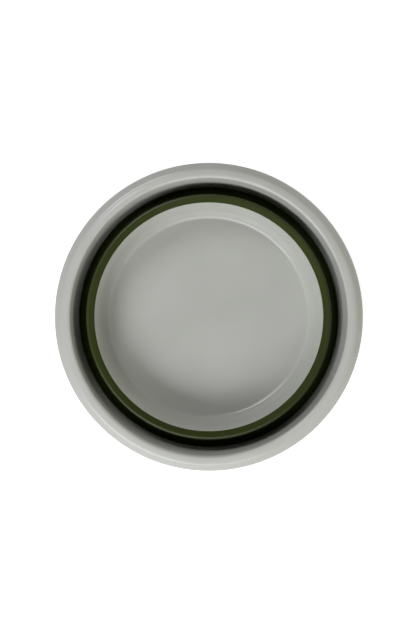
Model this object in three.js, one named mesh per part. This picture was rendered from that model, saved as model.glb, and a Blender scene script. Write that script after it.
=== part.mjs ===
// A round collapsible bowl, folded flat: a rigid rim and a rigid base tray, joined by a soft wall that folds.
// The soft wall is built as the rings that it folds in: a shoulder moulded round the tray's flange, four
// bands, and a collar moulded round the foot of the rim. The bands slide past each other as the rim lifts.
// Millimetres, +Z up, with the origin on the bowl's axis at the foot that it stands on.
import * as THREE from "three";

// Rim
const RIM_DIAMETER = 236; // across the outer edge of the lip
const RIM_HEIGHT = 39; // foot of the collar to the top of the lip
const RIM_WALL = 2.2;
const RIM_DRAFT = THREE.MathUtils.degToRad(9); // lean of the inner face
const RIM_SKIRT_WALL = 1.2; // the thinner foot of the rim, behind the collar
const LIP_WALL = 2;
const LIP_LAND_WIDTH = 4.33; // top of the lip
const LIP_FALL = 0.55; // of the land, which is level at its inner edge and falls to its outer one
const LIP_BEVEL_WIDTH = 5.2; // slope outside the land
const LIP_BEVEL_DROP = 3.4;
const LIP_EDGE_ROUND = 1.2; // foot of the slope
const LIP_INNER_ROUND = 2.5; // land to inner face
const LIP_DROP = 8; // top to the lower edge of the turned-down lip

// Soft wall
const BAND_COUNT = 4;
const BAND_WALL = 1.2;
const BAND_CLEARANCE = 0.3; // between neighbouring bands
const BAND_LAP = 1.4; // height that neighbours share, folded or pulled up
const BOND_GAP = 0.3; // between a soft ring and the rigid piece that it is moulded on
const COLLAR_PROUD = 0.5; // how far the collar stands inside the rim's inner face
const COLLAR_LIP = 1.3; // thickness of the collar under the foot of the rim
const COLLAR_CHAMFER = 0.4;
const SHOULDER_WIDTH = 6.4; // seen from above
const SHOULDER_COVER = 0.8; // thickness on top of the flange
const SHOULDER_HOOK = 1.2; // thickness under the flange
const HOOK_CLEARANCE = 1; // end of the hook to the tray's wall
const CREST_ROUND = 1.7;
const CREST_ARC = THREE.MathUtils.degToRad(150); // from the outer side over the top
const CREST_RISE = 2; // above the tray's flange

// Base tray
const TRAY_DEPTH = 25.3; // floor to the top of the flange
const TRAY_WALL = 2;
const TRAY_UPPER_DRAFT = THREE.MathUtils.degToRad(18);
const TRAY_LOWER_DRAFT = THREE.MathUtils.degToRad(27);
const TRAY_BREAK_HEIGHT = 7.6; // above the floor, where the wall turns steeper
const FLANGE_THICKNESS = 1.6;
const FLOOR_THICKNESS = 2.2;
const FLOOR_FILLET = 4;
const FOOT_HEIGHT = 2.4;
const FOOT_WIDTH = 3;
const FOOT_INSET = 2.5; // from the end of the level floor to the foot's outer side

const FOLDED_GAP = 2; // under the collar when the bowl is folded flat

// Facets
const SEGMENTS = 64; // round the axis
const ARC_STEPS = 4; // along each curve of a section, and twice as many along an arc

// Heights, from the table up
const floorTop = FOOT_HEIGHT + FLOOR_THICKNESS;
const flangeTop = floorTop + TRAY_DEPTH;
const flangeUnder = flangeTop - FLANGE_THICKNESS;
const crestTop = flangeTop + CREST_RISE;
const rimTop = FOLDED_GAP + RIM_HEIGHT;
const landEdge = rimTop - LIP_FALL;
const innerRoundHeight = rimTop - LIP_INNER_ROUND;
const bandPitch = (crestTop - BAND_LAP - FOLDED_GAP) / (BAND_COUNT + 2);
const bandHeight = bandPitch + BAND_LAP;
const collarTop = FOLDED_GAP + bandHeight;
const rebateTop = collarTop + BOND_GAP;

// Radii, from the lip inwards
const lipRadius = RIM_DIAMETER / 2;
const landOuter = lipRadius - LIP_BEVEL_WIDTH;
const landInner = landOuter - LIP_LAND_WIDTH;
const innerFaceTop = landInner - LIP_INNER_ROUND * Math.cos(RIM_DRAFT);
const innerFaceHeight = innerRoundHeight + LIP_INNER_ROUND * Math.sin(RIM_DRAFT) - rebateTop;
const innerFaceFoot = innerFaceTop - innerFaceHeight * Math.tan(RIM_DRAFT);
const collarInner = innerFaceFoot - COLLAR_PROUD;
const collarOuter = collarInner + BAND_WALL;
const skirtInner = collarOuter + BOND_GAP;
const skirtOuter = skirtInner + RIM_SKIRT_WALL;
const bandStep = BAND_WALL + BAND_CLEARANCE;
const shoulderOuter = collarInner - BAND_CLEARANCE - BAND_COUNT * bandStep;
const shoulderSkirt = shoulderOuter - BAND_WALL;
const shoulderInner = shoulderOuter - SHOULDER_WIDTH;
const flangeOuter = shoulderSkirt - BOND_GAP;
const trayUpperWall = (height) => shoulderInner - (flangeTop - height) * Math.tan(TRAY_UPPER_DRAFT);

function greyPlastic() {
  return new THREE.MeshStandardMaterial({ color: 0xb3b4ae, roughness: 0.5, metalness: 0 });
}

function greenRubber() {
  return new THREE.MeshStandardMaterial({ color: 0x353d20, roughness: 0.6, metalness: 0 });
}

// Turns a half section, drawn as radius and height, about the bowl's axis.
function revolve(name, section, material) {
  const geometry = new THREE.LatheGeometry(section.getPoints(ARC_STEPS), SEGMENTS);
  geometry.rotateX(Math.PI / 2);
  const mesh = new THREE.Mesh(geometry, material);
  mesh.name = name;
  return mesh;
}

// The rim: a leaning wall, a rebate at its foot for the collar, and a lip that turns out and down.
function makeRim() {
  const skirtFoot = FOLDED_GAP + COLLAR_LIP + BOND_GAP;
  const outerFace = (height) => innerFaceFoot + RIM_WALL + (height - rebateTop) * Math.tan(RIM_DRAFT);
  const lipUnder = landEdge - LIP_WALL;
  const lipInner = lipRadius - LIP_WALL;
  const lipFoot = rimTop - LIP_DROP;
  const bevelFoot = landEdge - LIP_BEVEL_DROP;
  const bevelSlope = LIP_BEVEL_DROP / LIP_BEVEL_WIDTH;
  const bevelDepth = LIP_WALL * Math.hypot(1, bevelSlope);
  const section = new THREE.Path();
  section.moveTo(skirtInner, skirtFoot);
  section.lineTo(skirtOuter, skirtFoot);
  section.lineTo(outerFace(rebateTop), rebateTop);
  section.lineTo(outerFace(lipUnder), lipUnder);
  section.lineTo(landOuter - (bevelDepth - LIP_WALL) / bevelSlope, lipUnder);
  section.lineTo(lipInner, landEdge - bevelSlope * (lipInner - landOuter) - bevelDepth);
  section.lineTo(lipInner, lipFoot);
  section.lineTo(lipRadius, lipFoot);
  section.lineTo(lipRadius, bevelFoot - LIP_EDGE_ROUND);
  section.quadraticCurveTo(
    lipRadius, bevelFoot, lipRadius - LIP_EDGE_ROUND, bevelFoot + LIP_EDGE_ROUND * bevelSlope);
  section.lineTo(landOuter, landEdge);
  section.quadraticCurveTo((landOuter + landInner) / 2, rimTop, landInner, rimTop);
  section.absarc(landInner, innerRoundHeight, LIP_INNER_ROUND, Math.PI / 2, Math.PI - RIM_DRAFT);
  section.lineTo(innerFaceFoot, rebateTop);
  section.lineTo(skirtInner, rebateTop);
  section.closePath();
  return revolve("rim", section, greyPlastic());
}

// The collar: a soft ring moulded in the rim's rebate and under its foot.
function makeCollar() {
  const section = new THREE.Path();
  section.moveTo(collarInner, FOLDED_GAP + COLLAR_CHAMFER);
  section.lineTo(collarInner + COLLAR_CHAMFER, FOLDED_GAP);
  section.lineTo(skirtOuter - COLLAR_CHAMFER, FOLDED_GAP);
  section.lineTo(skirtOuter, FOLDED_GAP + COLLAR_CHAMFER);
  section.lineTo(skirtOuter, FOLDED_GAP + COLLAR_LIP);
  section.lineTo(collarOuter, FOLDED_GAP + COLLAR_LIP);
  section.lineTo(collarOuter, collarTop);
  section.lineTo(collarInner, collarTop);
  section.closePath();
  return revolve("rim_collar", section, greenRubber());
}

// One band of the folding wall. Band 1 is next to the tray and the last one is next to the rim.
function makeBand(number) {
  const outer = shoulderOuter + number * bandStep;
  const inner = outer - BAND_WALL;
  const section = new THREE.Path();
  section.moveTo(inner, 0);
  section.lineTo(outer, 0);
  section.lineTo(outer, bandHeight);
  section.lineTo(inner, bandHeight);
  section.closePath();
  const band = revolve(`wall_band_${number}`, section, greenRubber());
  band.position.z = crestTop - bandHeight - number * bandPitch;
  return band;
}

// The shoulder: a soft ring that covers the tray's flange, hooks under it and ends in a short skirt.
function makeShoulder() {
  const coverUnder = flangeTop + BOND_GAP;
  const hookTop = flangeUnder - BOND_GAP;
  const hookInner = trayUpperWall(flangeUnder) + TRAY_WALL + HOOK_CLEARANCE;
  const section = new THREE.Path();
  section.moveTo(shoulderInner, coverUnder);
  section.lineTo(shoulderSkirt, coverUnder);
  section.lineTo(shoulderSkirt, hookTop);
  section.lineTo(hookInner, hookTop);
  section.lineTo(hookInner, hookTop - SHOULDER_HOOK);
  section.lineTo(shoulderSkirt, hookTop - SHOULDER_HOOK);
  section.lineTo(shoulderSkirt, crestTop - bandHeight);
  section.lineTo(shoulderOuter, crestTop - bandHeight);
  section.absarc(shoulderOuter - CREST_ROUND, crestTop - CREST_ROUND, CREST_ROUND, 0, CREST_ARC);
  section.lineTo(shoulderInner, coverUnder + SHOULDER_COVER);
  section.closePath();
  return revolve("shoulder_ring", section, greenRubber());
}

// The base tray: a level floor on a foot ring, a wall in two drafts, and a flange that the shoulder grips.
function makeTray() {
  const breakHeight = floorTop + TRAY_BREAK_HEIGHT;
  const breakRadius = trayUpperWall(breakHeight);
  const filletCentre = floorTop + FLOOR_FILLET;
  const filletTop = filletCentre - FLOOR_FILLET * Math.sin(TRAY_LOWER_DRAFT);
  const filletOuter = breakRadius - (breakHeight - filletTop) * Math.tan(TRAY_LOWER_DRAFT);
  const floorEdge = filletOuter - FLOOR_FILLET * Math.cos(TRAY_LOWER_DRAFT);
  const footOuter = floorEdge - FOOT_INSET;
  const footInner = footOuter - FOOT_WIDTH;
  const outerRound = FLOOR_FILLET + FLOOR_THICKNESS;
  const section = new THREE.Path();
  section.moveTo(0, FOOT_HEIGHT);
  section.lineTo(footInner, FOOT_HEIGHT);
  section.lineTo(footInner, 0);
  section.lineTo(footOuter, 0);
  section.lineTo(footOuter, FOOT_HEIGHT);
  section.absarc(floorEdge, filletCentre, outerRound, -Math.PI / 2, -TRAY_LOWER_DRAFT);
  section.lineTo(breakRadius + TRAY_WALL, breakHeight);
  section.lineTo(trayUpperWall(flangeUnder) + TRAY_WALL, flangeUnder);
  section.lineTo(flangeOuter, flangeUnder);
  section.lineTo(flangeOuter, flangeTop);
  section.lineTo(shoulderInner, flangeTop);
  section.lineTo(breakRadius, breakHeight);
  section.absarc(floorEdge, filletCentre, FLOOR_FILLET, -TRAY_LOWER_DRAFT, -Math.PI / 2, true);
  section.lineTo(0, floorTop);
  return revolve("base_tray", section, greyPlastic());
}

const base = new THREE.Group();
base.add(makeTray(), makeShoulder());

const foldingWall = new THREE.Group();
for (let number = 1; number <= BAND_COUNT; number += 1) {
  foldingWall.add(makeBand(number));
}

const rim = new THREE.Group();
rim.add(makeRim(), makeCollar());

const bowl = new THREE.Group();
bowl.name = "collapsible_bowl";
bowl.add(base, foldingWall, rim);

export default bowl;
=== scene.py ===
import math

import bmesh
import bpy
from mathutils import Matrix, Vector


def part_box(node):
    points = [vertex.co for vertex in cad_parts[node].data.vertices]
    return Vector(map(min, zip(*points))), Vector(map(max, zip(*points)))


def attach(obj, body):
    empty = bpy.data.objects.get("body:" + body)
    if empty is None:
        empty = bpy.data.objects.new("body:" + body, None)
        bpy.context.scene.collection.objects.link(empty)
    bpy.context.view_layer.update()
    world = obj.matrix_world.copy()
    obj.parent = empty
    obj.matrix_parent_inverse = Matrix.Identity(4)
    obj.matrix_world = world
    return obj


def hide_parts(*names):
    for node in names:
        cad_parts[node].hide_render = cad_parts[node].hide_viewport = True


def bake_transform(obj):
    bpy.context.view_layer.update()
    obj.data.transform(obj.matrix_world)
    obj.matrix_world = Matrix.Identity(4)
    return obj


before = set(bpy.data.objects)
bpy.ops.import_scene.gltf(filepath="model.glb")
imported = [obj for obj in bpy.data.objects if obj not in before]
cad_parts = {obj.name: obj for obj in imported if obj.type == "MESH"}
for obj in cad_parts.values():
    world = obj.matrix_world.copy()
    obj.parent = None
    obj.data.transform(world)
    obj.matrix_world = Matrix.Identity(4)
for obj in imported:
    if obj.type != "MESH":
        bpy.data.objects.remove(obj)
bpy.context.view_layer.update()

# Base tray
# The rigid floor and low wall of the bowl, injection moulded in one shot of matte grey polypropylene.
# It stands on a foot ring, and the soft wall is moulded round the flange at its top edge.

MM = 0.001
tray_low, tray_high = (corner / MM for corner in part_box("base_tray"))
FLANGE_RADIUS = tray_high.x
FLANGE_TOP = tray_high.z
FLANGE_THICKNESS = 1.6
FLANGE_UNDER = FLANGE_TOP - FLANGE_THICKNESS
FLANGE_WIDTH = 4.9
TRAY_MOUTH = FLANGE_RADIUS - FLANGE_WIDTH
TRAY_WALL = 2.0
WALL_TOP_OUTER = TRAY_MOUTH + 1.5
FOOT_HEIGHT = 2.4
FLOOR_THICKNESS = 2.2
UNDERSIDE = tray_low.z + FOOT_HEIGHT
FLOOR_TOP = UNDERSIDE + FLOOR_THICKNESS
FLOOR_FILLET = 4.0
BREAK_RISE = 7.6
BREAK_HEIGHT = FLOOR_TOP + BREAK_RISE
BREAK_ROUND = 40.0
UPPER_LEAN = math.tan(math.radians(18))
LOWER_LEAN = math.tan(math.radians(27))
BREAK_RADIUS = TRAY_MOUTH - (FLANGE_TOP - BREAK_HEIGHT) * UPPER_LEAN
FLOOR_EDGE = BREAK_RADIUS - BREAK_RISE * LOWER_LEAN
UNDERSIDE_EDGE = FLOOR_EDGE + 1.65
UNDERSIDE_ROUND = 6.2
FOOT_INSET = 4.95
FOOT_WIDTH = 3.0
FOOT_DRAFT = 0.2
FOOT_OUTER = FLOOR_EDGE - FOOT_INSET
FOOT_INNER = FOOT_OUTER - FOOT_WIDTH
FOOT_WORN_TO = 0.6
FOOT_WORN_FROM = 0.1
MOUTH_CHAMFER = 0.6
MOUTH_CHAMFER_WIDTH = 1.4
GATE_RADIUS = 3.4
GATE_BEVEL = 0.6
GATE_DEPTH = 0.5
GATE_STUB_TOP = 0.9
GATE_STUB_FOOT = 1.2
GATE_STUB_HEIGHT = GATE_DEPTH / 3
TRAY_LIGHT = (0.447, 0.452, 0.392, 1)
TRAY_DARK = (0.425, 0.430, 0.372, 1)
GREY_SCUFFED = (0.530, 0.536, 0.477, 1)
# Painted shade: the darker grey that the rim's outer slope turns to, and how far it turns, standing in for
# the shade that falls on that slope.
GREY_PAINTED_SHADE = (0.430, 0.434, 0.377, 1)
PAINTED_SHADE_SHARE = 0.85
SPECK_SHARE = 0.25
WEAR_SHARE = 0.4
LINES_ROUGHEN = 0.015
SMEAR_ROUGHENS = 0.015
WEAR_ROUGHENS = 0.2
ETCHING_ROUGHENS = 0.2
LINES_IN_RELIEF = 0.05
TRAY_ROUGHNESS = 0.23
TRAY_GLOSS = 0.5


def rounded(corners, steps=8, hold=0.25):
    """Rounds a closed half section, given as corners of (radius, height, rounding) in millimetres.

    A point close to each end of a round keeps the stretch between two rounds flat in shading."""
    count = len(corners)
    spots = [Vector(corner[:2]) for corner in corners]
    outline = []
    for i, (_, _, rounding) in enumerate(corners):
        if rounding == 0:
            outline.append(spots[i])
            continue
        to_last = spots[i - 1] - spots[i]
        to_next = spots[(i + 1) % count] - spots[i]
        half = to_last.angle(to_next) / 2
        reach = rounding / math.tan(half)
        bisector = (to_last.normalized() + to_next.normalized()).normalized()
        centre = spots[i] + bisector * rounding / math.sin(half)
        start = spots[i] + to_last.normalized() * reach - centre
        turn = start.angle_signed(spots[i] + to_next.normalized() * reach - centre)
        if to_last.length > 2 * (reach + hold):
            outline.append(spots[i] + to_last.normalized() * (reach + hold))
        first = math.atan2(start.y, start.x)
        for step in range(steps + 1):
            angle = first - turn * step / steps
            outline.append(centre + rounding * Vector((math.cos(angle), math.sin(angle))))
        if to_next.length > 2 * (reach + hold):
            outline.append(spots[i] + to_next.normalized() * (reach + hold))
    return outline


def turned(name, outline, turns=200):
    """Turns a closed half section in millimetres about the bowl's axis into a closed mesh."""
    work = bmesh.new()
    rings = []
    for radius, height in outline:
        if radius < 1e-6:
            rings.append([work.verts.new((0, 0, height * MM))] * turns)
            continue
        ring = []
        for step in range(turns):
            angle = math.tau * step / turns
            across = radius * MM * math.cos(angle)
            along = radius * MM * math.sin(angle)
            ring.append(work.verts.new((across, along, height * MM)))
        rings.append(ring)
    for ring, following in zip(rings, rings[1:] + rings[:1]):
        for step in range(turns):
            after = (step + 1) % turns
            corners = (ring[step], ring[after], following[after], following[step])
            corners = list(dict.fromkeys(corners))
            if len(corners) > 2:
                work.faces.new(corners)
    bmesh.ops.recalc_face_normals(work, faces=work.faces)
    mesh = bpy.data.meshes.new(name)
    work.to_mesh(mesh)
    work.free()
    mesh.shade_smooth()
    piece = bpy.data.objects.new(name, mesh)
    bpy.context.scene.collection.objects.link(piece)
    return piece


def blank_material(name):
    material = bpy.data.materials.new(name)
    material.use_nodes = True
    return material


def add(material, kind, settings=None, inputs=None):
    """Adds a node. A setting is one of its properties. An input is a value or another node's output."""
    node = material.node_tree.nodes.new(kind)
    for name, value in (settings or {}).items():
        setattr(node, name, value)
    for name, value in (inputs or {}).items():
        if isinstance(value, bpy.types.NodeSocket):
            material.node_tree.links.new(value, node.inputs[name])
        else:
            node.inputs[name].default_value = value
    return node


def math_of(material, operation, first, second=0.0):
    return add(material, "ShaderNodeMath", {"operation": operation}, {0: first, 1: second}).outputs[0]


def noise(material, place, scale, detail=2.0):
    inputs = {"Vector": place, "Scale": scale, "Detail": detail}
    return add(material, "ShaderNodeTexNoise", None, inputs).outputs[0]


def spread(material, value, low, high, to_low=0.0, to_high=1.0):
    """Maps low to high of a value on to another range, with soft ends."""
    inputs = {"Value": value, "From Min": low, "From Max": high, "To Min": to_low, "To Max": to_high}
    return add(material, "ShaderNodeMapRange", {"interpolation_type": "SMOOTHSTEP"}, inputs).outputs[0]


def colour_between(material, share, first, second):
    inputs = {"Factor": share, 6: first, 7: second}
    return add(material, "ShaderNodeMix", {"data_type": "RGBA"}, inputs).outputs[2]


def vector_of(material, operation, inputs):
    return add(material, "ShaderNodeVectorMath", {"operation": operation}, inputs).outputs


def places(material, round_radius=0.004):
    """The object's own coordinates, the distance from the bowl's axis, the height, and a ring coordinate.

    The ring coordinate runs quickly across a turned surface, and slowly round the axis, as on a circle
    of the round radius, so that noise on it makes the fine rings of a turned mould."""
    spot = add(material, "ShaderNodeTexCoord").outputs["Object"]
    parts = add(material, "ShaderNodeSeparateXYZ", None, {"Vector": spot}).outputs
    flat = add(material, "ShaderNodeCombineXYZ", None, {"X": parts["X"], "Y": parts["Y"]}).outputs[0]
    radius = vector_of(material, "LENGTH", {0: flat})["Value"]
    unit = vector_of(material, "NORMALIZE", {0: flat})["Vector"]
    slow = vector_of(material, "SCALE", {0: unit, "Scale": round_radius})["Vector"]
    across = math_of(material, "ADD", radius, parts["Z"])
    lift = add(material, "ShaderNodeCombineXYZ", None, {"Z": across}).outputs[0]
    ring = vector_of(material, "ADD", {0: slow, 1: lift})["Vector"]
    return spot, radius, parts["Z"], ring


def moulded_grey(name, light, dark, smoothest, gloss, worn, etched_and_shaded=None):
    """Matte moulded polypropylene: clouded pigment with dark specks, the lathe lines of the polished mould,
    a fine grain, smears, and worn places that the piece names by their radius and height.

    Smoothest is the least roughness that the mould's surface gave it, and gloss the strength of its
    reflection. The last argument is a pair of radii in metres, between which the finish turns duller, as
    from a textured mould, and the grey turns darker as painted shade."""
    material = blank_material(name)
    spot, radius, height, ring = places(material)
    cloud = spread(material, noise(material, spot, 26.0, 4.0), 0.3, 0.7)
    speck = spread(material, noise(material, spot, 1500.0, 1.0), 0.66, 0.8)
    lines = noise(material, ring, 1700.0, 3.0)
    grain = noise(material, spot, 2600.0, 2.0)
    smear = spread(material, noise(material, ring, 160.0, 5.0), 0.4, 0.75)
    patchy = spread(material, noise(material, spot, 900.0, 4.0), 0.4, 0.6)
    wear = math_of(material, "MULTIPLY", worn(material, radius, height), patchy)
    grey = colour_between(material, cloud, dark, light)
    if etched_and_shaded:
        # Painted shade: between these radii the grey darkens, standing in for the shade on the lip's outer
        # slope.
        slope_shade = spread(material, radius, *etched_and_shaded, 0.0, PAINTED_SHADE_SHARE)
        grey = colour_between(material, slope_shade, grey, GREY_PAINTED_SHADE)
    grey = colour_between(material, math_of(material, "MULTIPLY", speck, SPECK_SHARE), grey, dark)
    grey = colour_between(material, math_of(material, "MULTIPLY", wear, WEAR_SHARE), grey, GREY_SCUFFED)
    rough = spread(material, lines, 0.3, 0.7, smoothest, smoothest + LINES_ROUGHEN)
    rough = math_of(material, "ADD", rough, math_of(material, "MULTIPLY", smear, SMEAR_ROUGHENS))
    rough = math_of(material, "ADD", rough, math_of(material, "MULTIPLY", wear, WEAR_ROUGHENS))
    if etched_and_shaded:
        rough = math_of(material, "ADD", rough, spread(material, radius, *etched_and_shaded, 0.0, ETCHING_ROUGHENS))
    relief = math_of(material, "ADD", grain, math_of(material, "MULTIPLY", lines, LINES_IN_RELIEF))
    grain_depth = {"Strength": 0.35, "Distance": 0.00003, "Height": relief}
    bump = add(material, "ShaderNodeBump", None, grain_depth)
    shader = material.node_tree.nodes["Principled BSDF"]
    material.node_tree.links.new(grey, shader.inputs["Base Color"])
    material.node_tree.links.new(rough, shader.inputs["Roughness"])
    material.node_tree.links.new(bump.outputs[0], shader.inputs["Normal"])
    shader.inputs["Specular IOR Level"].default_value = gloss
    return material


def foot_wear(material, radius, height):
    return spread(material, height, FOOT_WORN_TO * MM, FOOT_WORN_FROM * MM)


tray_section = rounded([
    (0, UNDERSIDE + GATE_STUB_HEIGHT, 0),
    (GATE_STUB_TOP, UNDERSIDE + GATE_STUB_HEIGHT, 0.1),
    (GATE_STUB_FOOT, UNDERSIDE + GATE_DEPTH, 0.1),
    (GATE_RADIUS, UNDERSIDE + GATE_DEPTH, 0.3),
    (GATE_RADIUS + GATE_BEVEL, UNDERSIDE, 0.3),
    (FOOT_INNER, UNDERSIDE, 0.7),
    (FOOT_INNER + FOOT_DRAFT, tray_low.z, 0.6),
    (FOOT_OUTER - FOOT_DRAFT, tray_low.z, 0.6),
    (FOOT_OUTER, UNDERSIDE, 0.7),
    (UNDERSIDE_EDGE, UNDERSIDE, UNDERSIDE_ROUND),
    (BREAK_RADIUS + TRAY_WALL, BREAK_HEIGHT, BREAK_ROUND),
    (WALL_TOP_OUTER, FLANGE_UNDER, 0.5),
    (FLANGE_RADIUS, FLANGE_UNDER, 0.25),
    (FLANGE_RADIUS, FLANGE_TOP, 0.25),
    (TRAY_MOUTH + MOUTH_CHAMFER_WIDTH, FLANGE_TOP, 0.2),
    (TRAY_MOUTH, FLANGE_TOP - MOUTH_CHAMFER, 0.15),
    (BREAK_RADIUS, BREAK_HEIGHT, BREAK_ROUND),
    (FLOOR_EDGE, FLOOR_TOP, FLOOR_FILLET),
    (0, FLOOR_TOP, 0),
])
tray = turned("tray_shell", tray_section)
tray_grey = moulded_grey("tray_grey", TRAY_LIGHT, TRAY_DARK, TRAY_ROUGHNESS, TRAY_GLOSS, foot_wear)
tray.data.materials.append(tray_grey)
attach(tray, "base")
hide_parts("base_tray")

# Shoulder ring
# The soft wall's inner edge: dark green thermoplastic rubber, moulded over and under the tray's flange.
# Its top is a narrow ring that ends in a raised bead, the crest that the wall folds over.

shoulder_low, shoulder_high = (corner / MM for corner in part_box("shoulder_ring"))
BEAD_OUTER = shoulder_high.x
BEAD_TOP = shoulder_high.z
BEAD_WIDTH = 2.4
BEAD_INNER = BEAD_OUTER - BEAD_WIDTH
BEAD_ROUND = 1.9
STEP_WIDTH = 0.6
STEP_FOOT = BEAD_INNER - STEP_WIDTH
STEP_HEIGHT = 0.38
COVER_TOP = BEAD_TOP - STEP_HEIGHT
COVER_FALL = 1.75
RUBBED_FROM = BEAD_INNER + 0.22
RUBBED_TO = BEAD_INNER + 1.02
BOND = 0.05
LEG_OUTER = BEAD_OUTER - 1.0
LEG_FOOT = FLANGE_UNDER - 1.4
HOOK_INNER = FLANGE_RADIUS - 2.1
SOFT_WALL = 1.2
FOLD_TOP = FLANGE_UNDER + 0.4
GREEN_LIGHT = (0.0374, 0.0486, 0.0125, 1)
GREEN_DARK = (0.0311, 0.0404, 0.0104, 1)
GREEN_DUSTY = (0.075, 0.086, 0.046, 1)
DUST_SHARE = 0.35
DUST_ROUGHENS = 0.2
FLOW_ROUGHENS = 0.08
BEAD_ROUGHNESS = 0.48
BEAD_GLOSS = 0.02
RUBBED_GLOSS = 0.33
RUBBING_SMOOTHS = 0.15


def soft_green(name, smoothest, gloss, crest=None):
    """Matte thermoplastic rubber: flow marks of the moulding, a fine tooled grain, and clinging dust.

    Smoothest is the least roughness that the mould's surface gave it, and gloss the strength of its
    reflection. Crest is a pair of radii in metres, between which it turns from dull to rubbed smooth."""
    material = blank_material(name)
    spot, radius, _, ring = places(material)
    flow = spread(material, noise(material, ring, 220.0, 4.0), 0.3, 0.7)
    grain = noise(material, spot, 2200.0, 2.0)
    dust = spread(material, noise(material, spot, 900.0, 3.0), 0.64, 0.74)
    patch = spread(material, noise(material, spot, 60.0, 3.0), 0.45, 0.7)
    dust = math_of(material, "MULTIPLY", dust, patch)
    green = colour_between(material, flow, GREEN_DARK, GREEN_LIGHT)
    green = colour_between(material, math_of(material, "MULTIPLY", dust, DUST_SHARE), green, GREEN_DUSTY)
    rough = spread(material, flow, 0.0, 1.0, smoothest, smoothest + FLOW_ROUGHENS)
    rough = math_of(material, "ADD", rough, math_of(material, "MULTIPLY", dust, DUST_ROUGHENS))
    grain_depth = {"Strength": 0.4, "Distance": 0.00004, "Height": grain}
    bump = add(material, "ShaderNodeBump", None, grain_depth)
    shader = material.node_tree.nodes["Principled BSDF"]
    shader.inputs["Specular IOR Level"].default_value = gloss
    if crest:
        rubbing = spread(material, radius, *crest, 0.0, RUBBING_SMOOTHS)
        rough = math_of(material, "SUBTRACT", rough, rubbing)
        shine = spread(material, radius, *crest, gloss, RUBBED_GLOSS)
        material.node_tree.links.new(shine, shader.inputs["Specular IOR Level"])
    material.node_tree.links.new(green, shader.inputs["Base Color"])
    material.node_tree.links.new(rough, shader.inputs["Roughness"])
    material.node_tree.links.new(bump.outputs[0], shader.inputs["Normal"])
    return material


shoulder_section = rounded([
    (TRAY_MOUTH, FLANGE_TOP - MOUTH_CHAMFER + BOND, 0.1),
    (TRAY_MOUTH + MOUTH_CHAMFER_WIDTH, FLANGE_TOP + BOND, 0.1),
    (FLANGE_RADIUS + BOND, FLANGE_TOP + BOND, 0.05),
    (FLANGE_RADIUS + BOND, FLANGE_UNDER - BOND, 0.05),
    (HOOK_INNER, FLANGE_UNDER - BOND, 0.2),
    (HOOK_INNER, LEG_FOOT, 0.4),
    (LEG_OUTER, LEG_FOOT, 0.4),
    (LEG_OUTER, FOLD_TOP, 0.05),
    (BEAD_OUTER, FOLD_TOP, 0.2),
    (BEAD_OUTER, BEAD_TOP, BEAD_ROUND),
    (BEAD_INNER, BEAD_TOP, 0.7),
    (STEP_FOOT, COVER_TOP, 0.5),
    (TRAY_MOUTH, COVER_TOP - COVER_FALL, 0.15),
])
shoulder = turned("shoulder_bead", shoulder_section)
bead_crest = (RUBBED_FROM * MM, RUBBED_TO * MM)
shoulder.data.materials.append(soft_green("bead_green", BEAD_ROUGHNESS, BEAD_GLOSS, bead_crest))
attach(shoulder, "base")
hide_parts("shoulder_ring")

# Folding wall
# The stretch of the same rubber skin between the tray and the rim. Folded flat it hangs as a steep cone
# in the groove. On the real bowl it turns over as the rim lifts, its top staying with the tray and its foot
# going with the rim; here it is built only folded flat.

collar_low, collar_high = (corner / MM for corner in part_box("rim_collar"))
COLLAR_WIDTH = 2.7
COLLAR_INNER = collar_high.x - COLLAR_WIDTH
FOLD_FOOT = collar_low.z + 2.4
FOLD_START = BEAD_OUTER - 0.3
FOLD_END = COLLAR_INNER + 0.1
FOLD_BOW = 2.2
FOLD_STEPS = 60
SKIN_ROUGHNESS = 0.62
SKIN_GLOSS = 0.03


def fold_outer(share):
    """Radius of the skin's outer face, from the bead at share 0 to the collar at share 1."""
    return FOLD_START + (FOLD_END - FOLD_START) * share ** FOLD_BOW


def fold_height(share):
    return FOLD_TOP - BOND + (FOLD_FOOT - FOLD_TOP) * share


fold_shares = [step / FOLD_STEPS for step in range(FOLD_STEPS + 1)]
fold_inner = [(fold_outer(share) - SOFT_WALL, fold_height(share), 0) for share in fold_shares]
fold_face = [(fold_outer(share), fold_height(share), 0) for share in reversed(fold_shares)]
fold = turned("folding_wall", rounded(fold_inner + fold_face))
skin_green = soft_green("skin_green", SKIN_ROUGHNESS, SKIN_GLOSS)
fold.data.materials.append(skin_green)
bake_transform(fold)
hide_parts("wall_band_1", "wall_band_2", "wall_band_3", "wall_band_4")

# Rim collar
# The soft wall's outer edge, of the same rubber, moulded into a rebate inside the rim's foot and round
# under it. The folded skin turns up out of the round at its lowest point.

COLLAR_OUTER = collar_high.x
COLLAR_TOP = collar_high.z
TURN_INNER = COLLAR_INNER - SOFT_WALL
TURN_TOP = collar_low.z + 2.8
COLLAR_LIP = collar_low.z + 1.5
TONGUE_OUTER = COLLAR_INNER + SOFT_WALL + 0.2

collar_section = rounded([
    (TURN_INNER, collar_low.z, 1.1),
    (COLLAR_OUTER, collar_low.z, 0.7),
    (COLLAR_OUTER, COLLAR_LIP, 0.1),
    (TONGUE_OUTER, COLLAR_LIP, 0.05),
    (TONGUE_OUTER, COLLAR_TOP, 0.1),
    (COLLAR_INNER, COLLAR_TOP, 0.3),
    (COLLAR_INNER, TURN_TOP, 0.05),
    (TURN_INNER, TURN_TOP, 0.3),
])
collar = turned("rim_collar_bead", collar_section)
collar.data.materials.append(skin_green)
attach(collar, "rim")
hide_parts("rim_collar")

# Rim
# The rigid upper wall and lip, moulded in grey polypropylene a shade lighter than the tray. The lip has a
# smooth land that falls outwards, and outside it a slope with a duller, textured finish, its grey darkened
# by painted shade, and a turned-down edge. It is hollow underneath for the fingers, and its foot holds the
# soft wall's tongue in a rebate.

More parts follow.
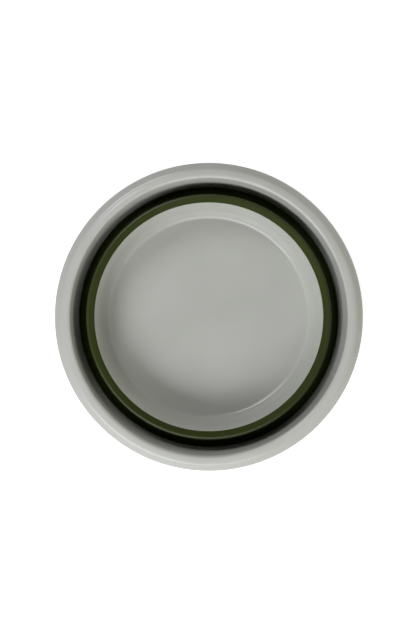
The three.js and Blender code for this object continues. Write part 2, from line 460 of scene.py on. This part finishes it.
rim_low, rim_high = (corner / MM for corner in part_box("rim"))
LIP_RADIUS = rim_high.x
LIP_TOP = rim_high.z
LIP_DROP = 8.0
LIP_FOOT = LIP_TOP - LIP_DROP
LIP_WALL = 2.0
SLOPE_WIDTH = 4.9
LAND_OUTER = LIP_RADIUS - SLOPE_WIDTH
LAND_WIDTH = 4.63
LAND_FALL = 0.6
LAND_STEPS = 12
CREASE_STEPS = 4
LAND_EDGE = LIP_TOP - LAND_FALL
LAND_ROUND = 2.5
LAND_CREASE = 5.0
SLOPE_DROP = 3.7
SLOPE_FOOT = LAND_EDGE - SLOPE_DROP
LIP_UNDER = LAND_EDGE - LIP_WALL
HOLLOW_TOP_OUTER = LAND_OUTER - 0.66
HOLLOW_SIDE_TOP = LAND_EDGE - 4.4
RIM_INNER_FOOT = COLLAR_INNER + 0.5
RIM_LEAN = math.tan(math.radians(9))
RIM_WALL = 2.2
REBATE_TOP = COLLAR_TOP + 0.1
SKIRT_INNER = COLLAR_INNER + SOFT_WALL + 0.25
SKIRT_OUTER = COLLAR_OUTER
SEAM_HEIGHT = LIP_FOOT + 1.6
SEAM_RISE = 0.12
RIM_LIGHT = (0.489, 0.494, 0.430, 1)
RIM_DARK = (0.466, 0.470, 0.408, 1)
RIM_ROUGHNESS = 0.19
RIM_GLOSS = 0.32
# Between these radii the lip's outer slope turns duller, and its grey turns darker as painted shade.
ETCHED_AND_SHADED_FROM = LAND_OUTER - 0.5
ETCHED_AND_SHADED_TO = LAND_OUTER + 0.7
EDGE_WORN_FROM = LIP_RADIUS - 1.2
EDGE_WORN_TO = LIP_RADIUS - 0.1
EDGE_WEAR = 0.4


def rim_inner(height):
    return RIM_INNER_FOOT + (height - REBATE_TOP) * RIM_LEAN


def land_point(share):
    """A point of the land, from its outer edge at share 0 to its level inner edge at share 1."""
    return LAND_OUTER - LAND_WIDTH * share, LIP_TOP - LAND_FALL * (1 - share) ** 2, 0


def lip_wear(material, radius, height):
    return spread(material, radius, EDGE_WORN_FROM * MM, EDGE_WORN_TO * MM, 0.0, EDGE_WEAR)


rim_section = rounded([
    (SKIRT_INNER, rim_low.z, 0.2),
    (SKIRT_OUTER, rim_low.z, 0.3),
    (rim_inner(REBATE_TOP) + RIM_WALL, REBATE_TOP, 3),
    (rim_inner(LIP_UNDER) + RIM_WALL, LIP_UNDER, 1.2),
    (HOLLOW_TOP_OUTER, LIP_UNDER, 0.8),
    (LIP_RADIUS - LIP_WALL, HOLLOW_SIDE_TOP, 1.0),
    (LIP_RADIUS - LIP_WALL, LIP_FOOT, 0.5),
    (LIP_RADIUS - SEAM_RISE, LIP_FOOT, 0.7),
    (LIP_RADIUS - SEAM_RISE, SEAM_HEIGHT, 0.05),
    (LIP_RADIUS, SEAM_HEIGHT + SEAM_RISE, 0.05),
    (LIP_RADIUS, SLOPE_FOOT, 1.4),
    (LAND_OUTER, LAND_EDGE, LAND_CREASE),
    *(land_point(step / LAND_STEPS) for step in range(CREASE_STEPS, LAND_STEPS)),
    (rim_inner(LIP_TOP), LIP_TOP, LAND_ROUND),
    (rim_inner(REBATE_TOP), REBATE_TOP, 0.2),
    (SKIRT_INNER, REBATE_TOP, 0.05),
])
rim = turned("rim_shell", rim_section)
etched_and_shaded_radii = (ETCHED_AND_SHADED_FROM * MM, ETCHED_AND_SHADED_TO * MM)
rim_grey = moulded_grey("rim_grey", RIM_LIGHT, RIM_DARK, RIM_ROUGHNESS, RIM_GLOSS, lip_wear, etched_and_shaded_radii)
rim.data.materials.append(rim_grey)
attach(rim, "rim")
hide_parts("rim")

# Floor
# A plain white table that turns up far from the bowl, like a photographer's sweep. To the eye it is white,
# and it keeps a faint shadow where the bowl stands on it.

SWEEP_RADIUS = 10000.0
SWEEP_HEIGHT = 2000.0
SWEEP_ROUND = 1000.0
TABLE_TOP = -0.2
TABLE_THICKNESS = 5.0
TABLE_WHITE = (0.8, 0.8, 0.8, 1)
TABLE_SHADE = (0.45, 0.45, 0.45, 1)
GLOW_NEAR = 0.82
GLOW_FAR = 1.0
GLOW_NEAR_TO = 400.0
GLOW_FAR_FROM = 1800.0

table = turned("table", rounded([
    (0, TABLE_TOP, 0),
    (SWEEP_RADIUS, TABLE_TOP, SWEEP_ROUND),
    (SWEEP_RADIUS, SWEEP_HEIGHT, 0),
    (SWEEP_RADIUS + TABLE_THICKNESS, SWEEP_HEIGHT, 0),
    (SWEEP_RADIUS + TABLE_THICKNESS, TABLE_TOP - TABLE_THICKNESS, 0),
    (0, TABLE_TOP - TABLE_THICKNESS, 0),
]))


def seen_directly(material):
    """1 for what the eye sees, straight, mirrored or through glass, and 0 for light that lights things."""
    path = add(material, "ShaderNodeLightPath").outputs
    either = math_of(material, "MAXIMUM", path["Is Camera Ray"], path["Is Glossy Ray"])
    return math_of(material, "MAXIMUM", either, path["Is Transmission Ray"])


table_white = blank_material("table_white")
table_white.node_tree.nodes.remove(table_white.node_tree.nodes["Principled BSDF"])
matte = add(table_white, "ShaderNodeBsdfDiffuse", None, {"Color": TABLE_WHITE}).outputs[0]
faint = add(table_white, "ShaderNodeBsdfDiffuse", None, {"Color": TABLE_SHADE}).outputs[0]
_, from_bowl, _, _ = places(table_white)
glow_strength = spread(
    table_white, from_bowl, GLOW_NEAR_TO * MM, GLOW_FAR_FROM * MM, GLOW_NEAR, GLOW_FAR)
glow = add(table_white, "ShaderNodeEmission", None, {"Strength": glow_strength}).outputs[0]
bright = add(table_white, "ShaderNodeAddShader", None, {0: faint, 1: glow}).outputs[0]
choice = {0: seen_directly(table_white), 1: matte, 2: bright}
shown = add(table_white, "ShaderNodeMixShader", None, choice).outputs[0]
surface = table_white.node_tree.nodes["Material Output"].inputs["Surface"]
table_white.node_tree.links.new(shown, surface)
table.data.materials.append(table_white)

# Light
# Softboxes in a dark room: two wide keys from the front left and front with a small one above them, one
# at the back left, a small one high over it that draws the highlight on the lip, and weaker, warmer strips
# from the right, one high, one wide and two close to the table.

SURROUND = 0.0
AIM = Vector((0, 0, 0.03))
LAMP_DISTANCE = 1.3
NEUTRAL = (0.995, 1.0, 1.10)
WARM = (1.01, 1.0, 0.93)


def softbox(name, azimuth, elevation, width, height, power, tint):
    """A rectangular lamp, sized in metres, that faces the bowl from an azimuth and elevation in degrees."""
    light = bpy.data.lights.new(name, "AREA")
    light.shape = "RECTANGLE"
    light.size = width
    light.size_y = height
    light.energy = power
    light.color = tint
    holder = bpy.data.objects.new(name, light)
    bpy.context.scene.collection.objects.link(holder)
    level = math.cos(math.radians(elevation))
    across = level * math.cos(math.radians(azimuth))
    along = level * math.sin(math.radians(azimuth))
    towards = Vector((across, along, math.sin(math.radians(elevation))))
    holder.location = AIM + towards * LAMP_DISTANCE
    holder.rotation_euler = (-towards).to_track_quat("-Z", "Y").to_euler()
    holder.visible_camera = False


softbox("key_front_left", azimuth=236, elevation=34, width=0.85, height=0.5, power=11.9, tint=NEUTRAL)
softbox("key_front", azimuth=274, elevation=33, width=0.7, height=0.45, power=5.4, tint=NEUTRAL)
softbox("key_high", azimuth=250, elevation=60, width=0.4, height=0.2, power=0.5, tint=NEUTRAL)
softbox("back_left", azimuth=122, elevation=38, width=0.62, height=0.48, power=7.1, tint=NEUTRAL)
softbox("back_left_high", azimuth=127, elevation=68, width=0.1, height=0.1, power=0.9, tint=NEUTRAL)
softbox("high_right", azimuth=0, elevation=74, width=0.4, height=0.15, power=0.6, tint=WARM)
softbox("right", azimuth=338, elevation=28, width=1.8, height=0.25, power=3.0, tint=WARM)
softbox("low_front_right", azimuth=331, elevation=5, width=0.6, height=0.1, power=2.4, tint=WARM)
softbox("low_back_right", azimuth=40, elevation=7, width=0.8, height=0.15, power=2.5, tint=WARM)

surround = bpy.data.worlds.new("surround")
bpy.context.scene.world = surround
surround.use_nodes = True
even = surround.node_tree.nodes["Background"]
even.inputs["Color"].default_value = (1, 1, 1, 1)
even.inputs["Strength"].default_value = SURROUND

# Camera
# Straight above the bowl's axis, with the top of the picture towards +Y.

PICTURE_HEIGHT = 624
MM_PER_PIXEL = 0.7635
CAMERA_ABOVE_LIP = 1500.0
CENTRE_BELOW_MIDDLE = 4.85
CENTRE_RIGHT_OF_MIDDLE = 0.85

camera = bpy.data.cameras.new("camera")
camera.sensor_width = 36.0
camera.lens = camera.sensor_width * CAMERA_ABOVE_LIP / (PICTURE_HEIGHT * MM_PER_PIXEL)
camera_holder = bpy.data.objects.new("camera", camera)
bpy.context.scene.collection.objects.link(camera_holder)
camera_holder.location = (0, 0, (LIP_TOP + CAMERA_ABOVE_LIP) * MM)
camera.shift_x = -CENTRE_RIGHT_OF_MIDDLE / PICTURE_HEIGHT
camera.shift_y = CENTRE_BELOW_MIDDLE / PICTURE_HEIGHT
camera.clip_end = 40.0
bpy.context.scene.camera = camera_holder
bpy.context.scene.view_settings.view_transform = "Standard"
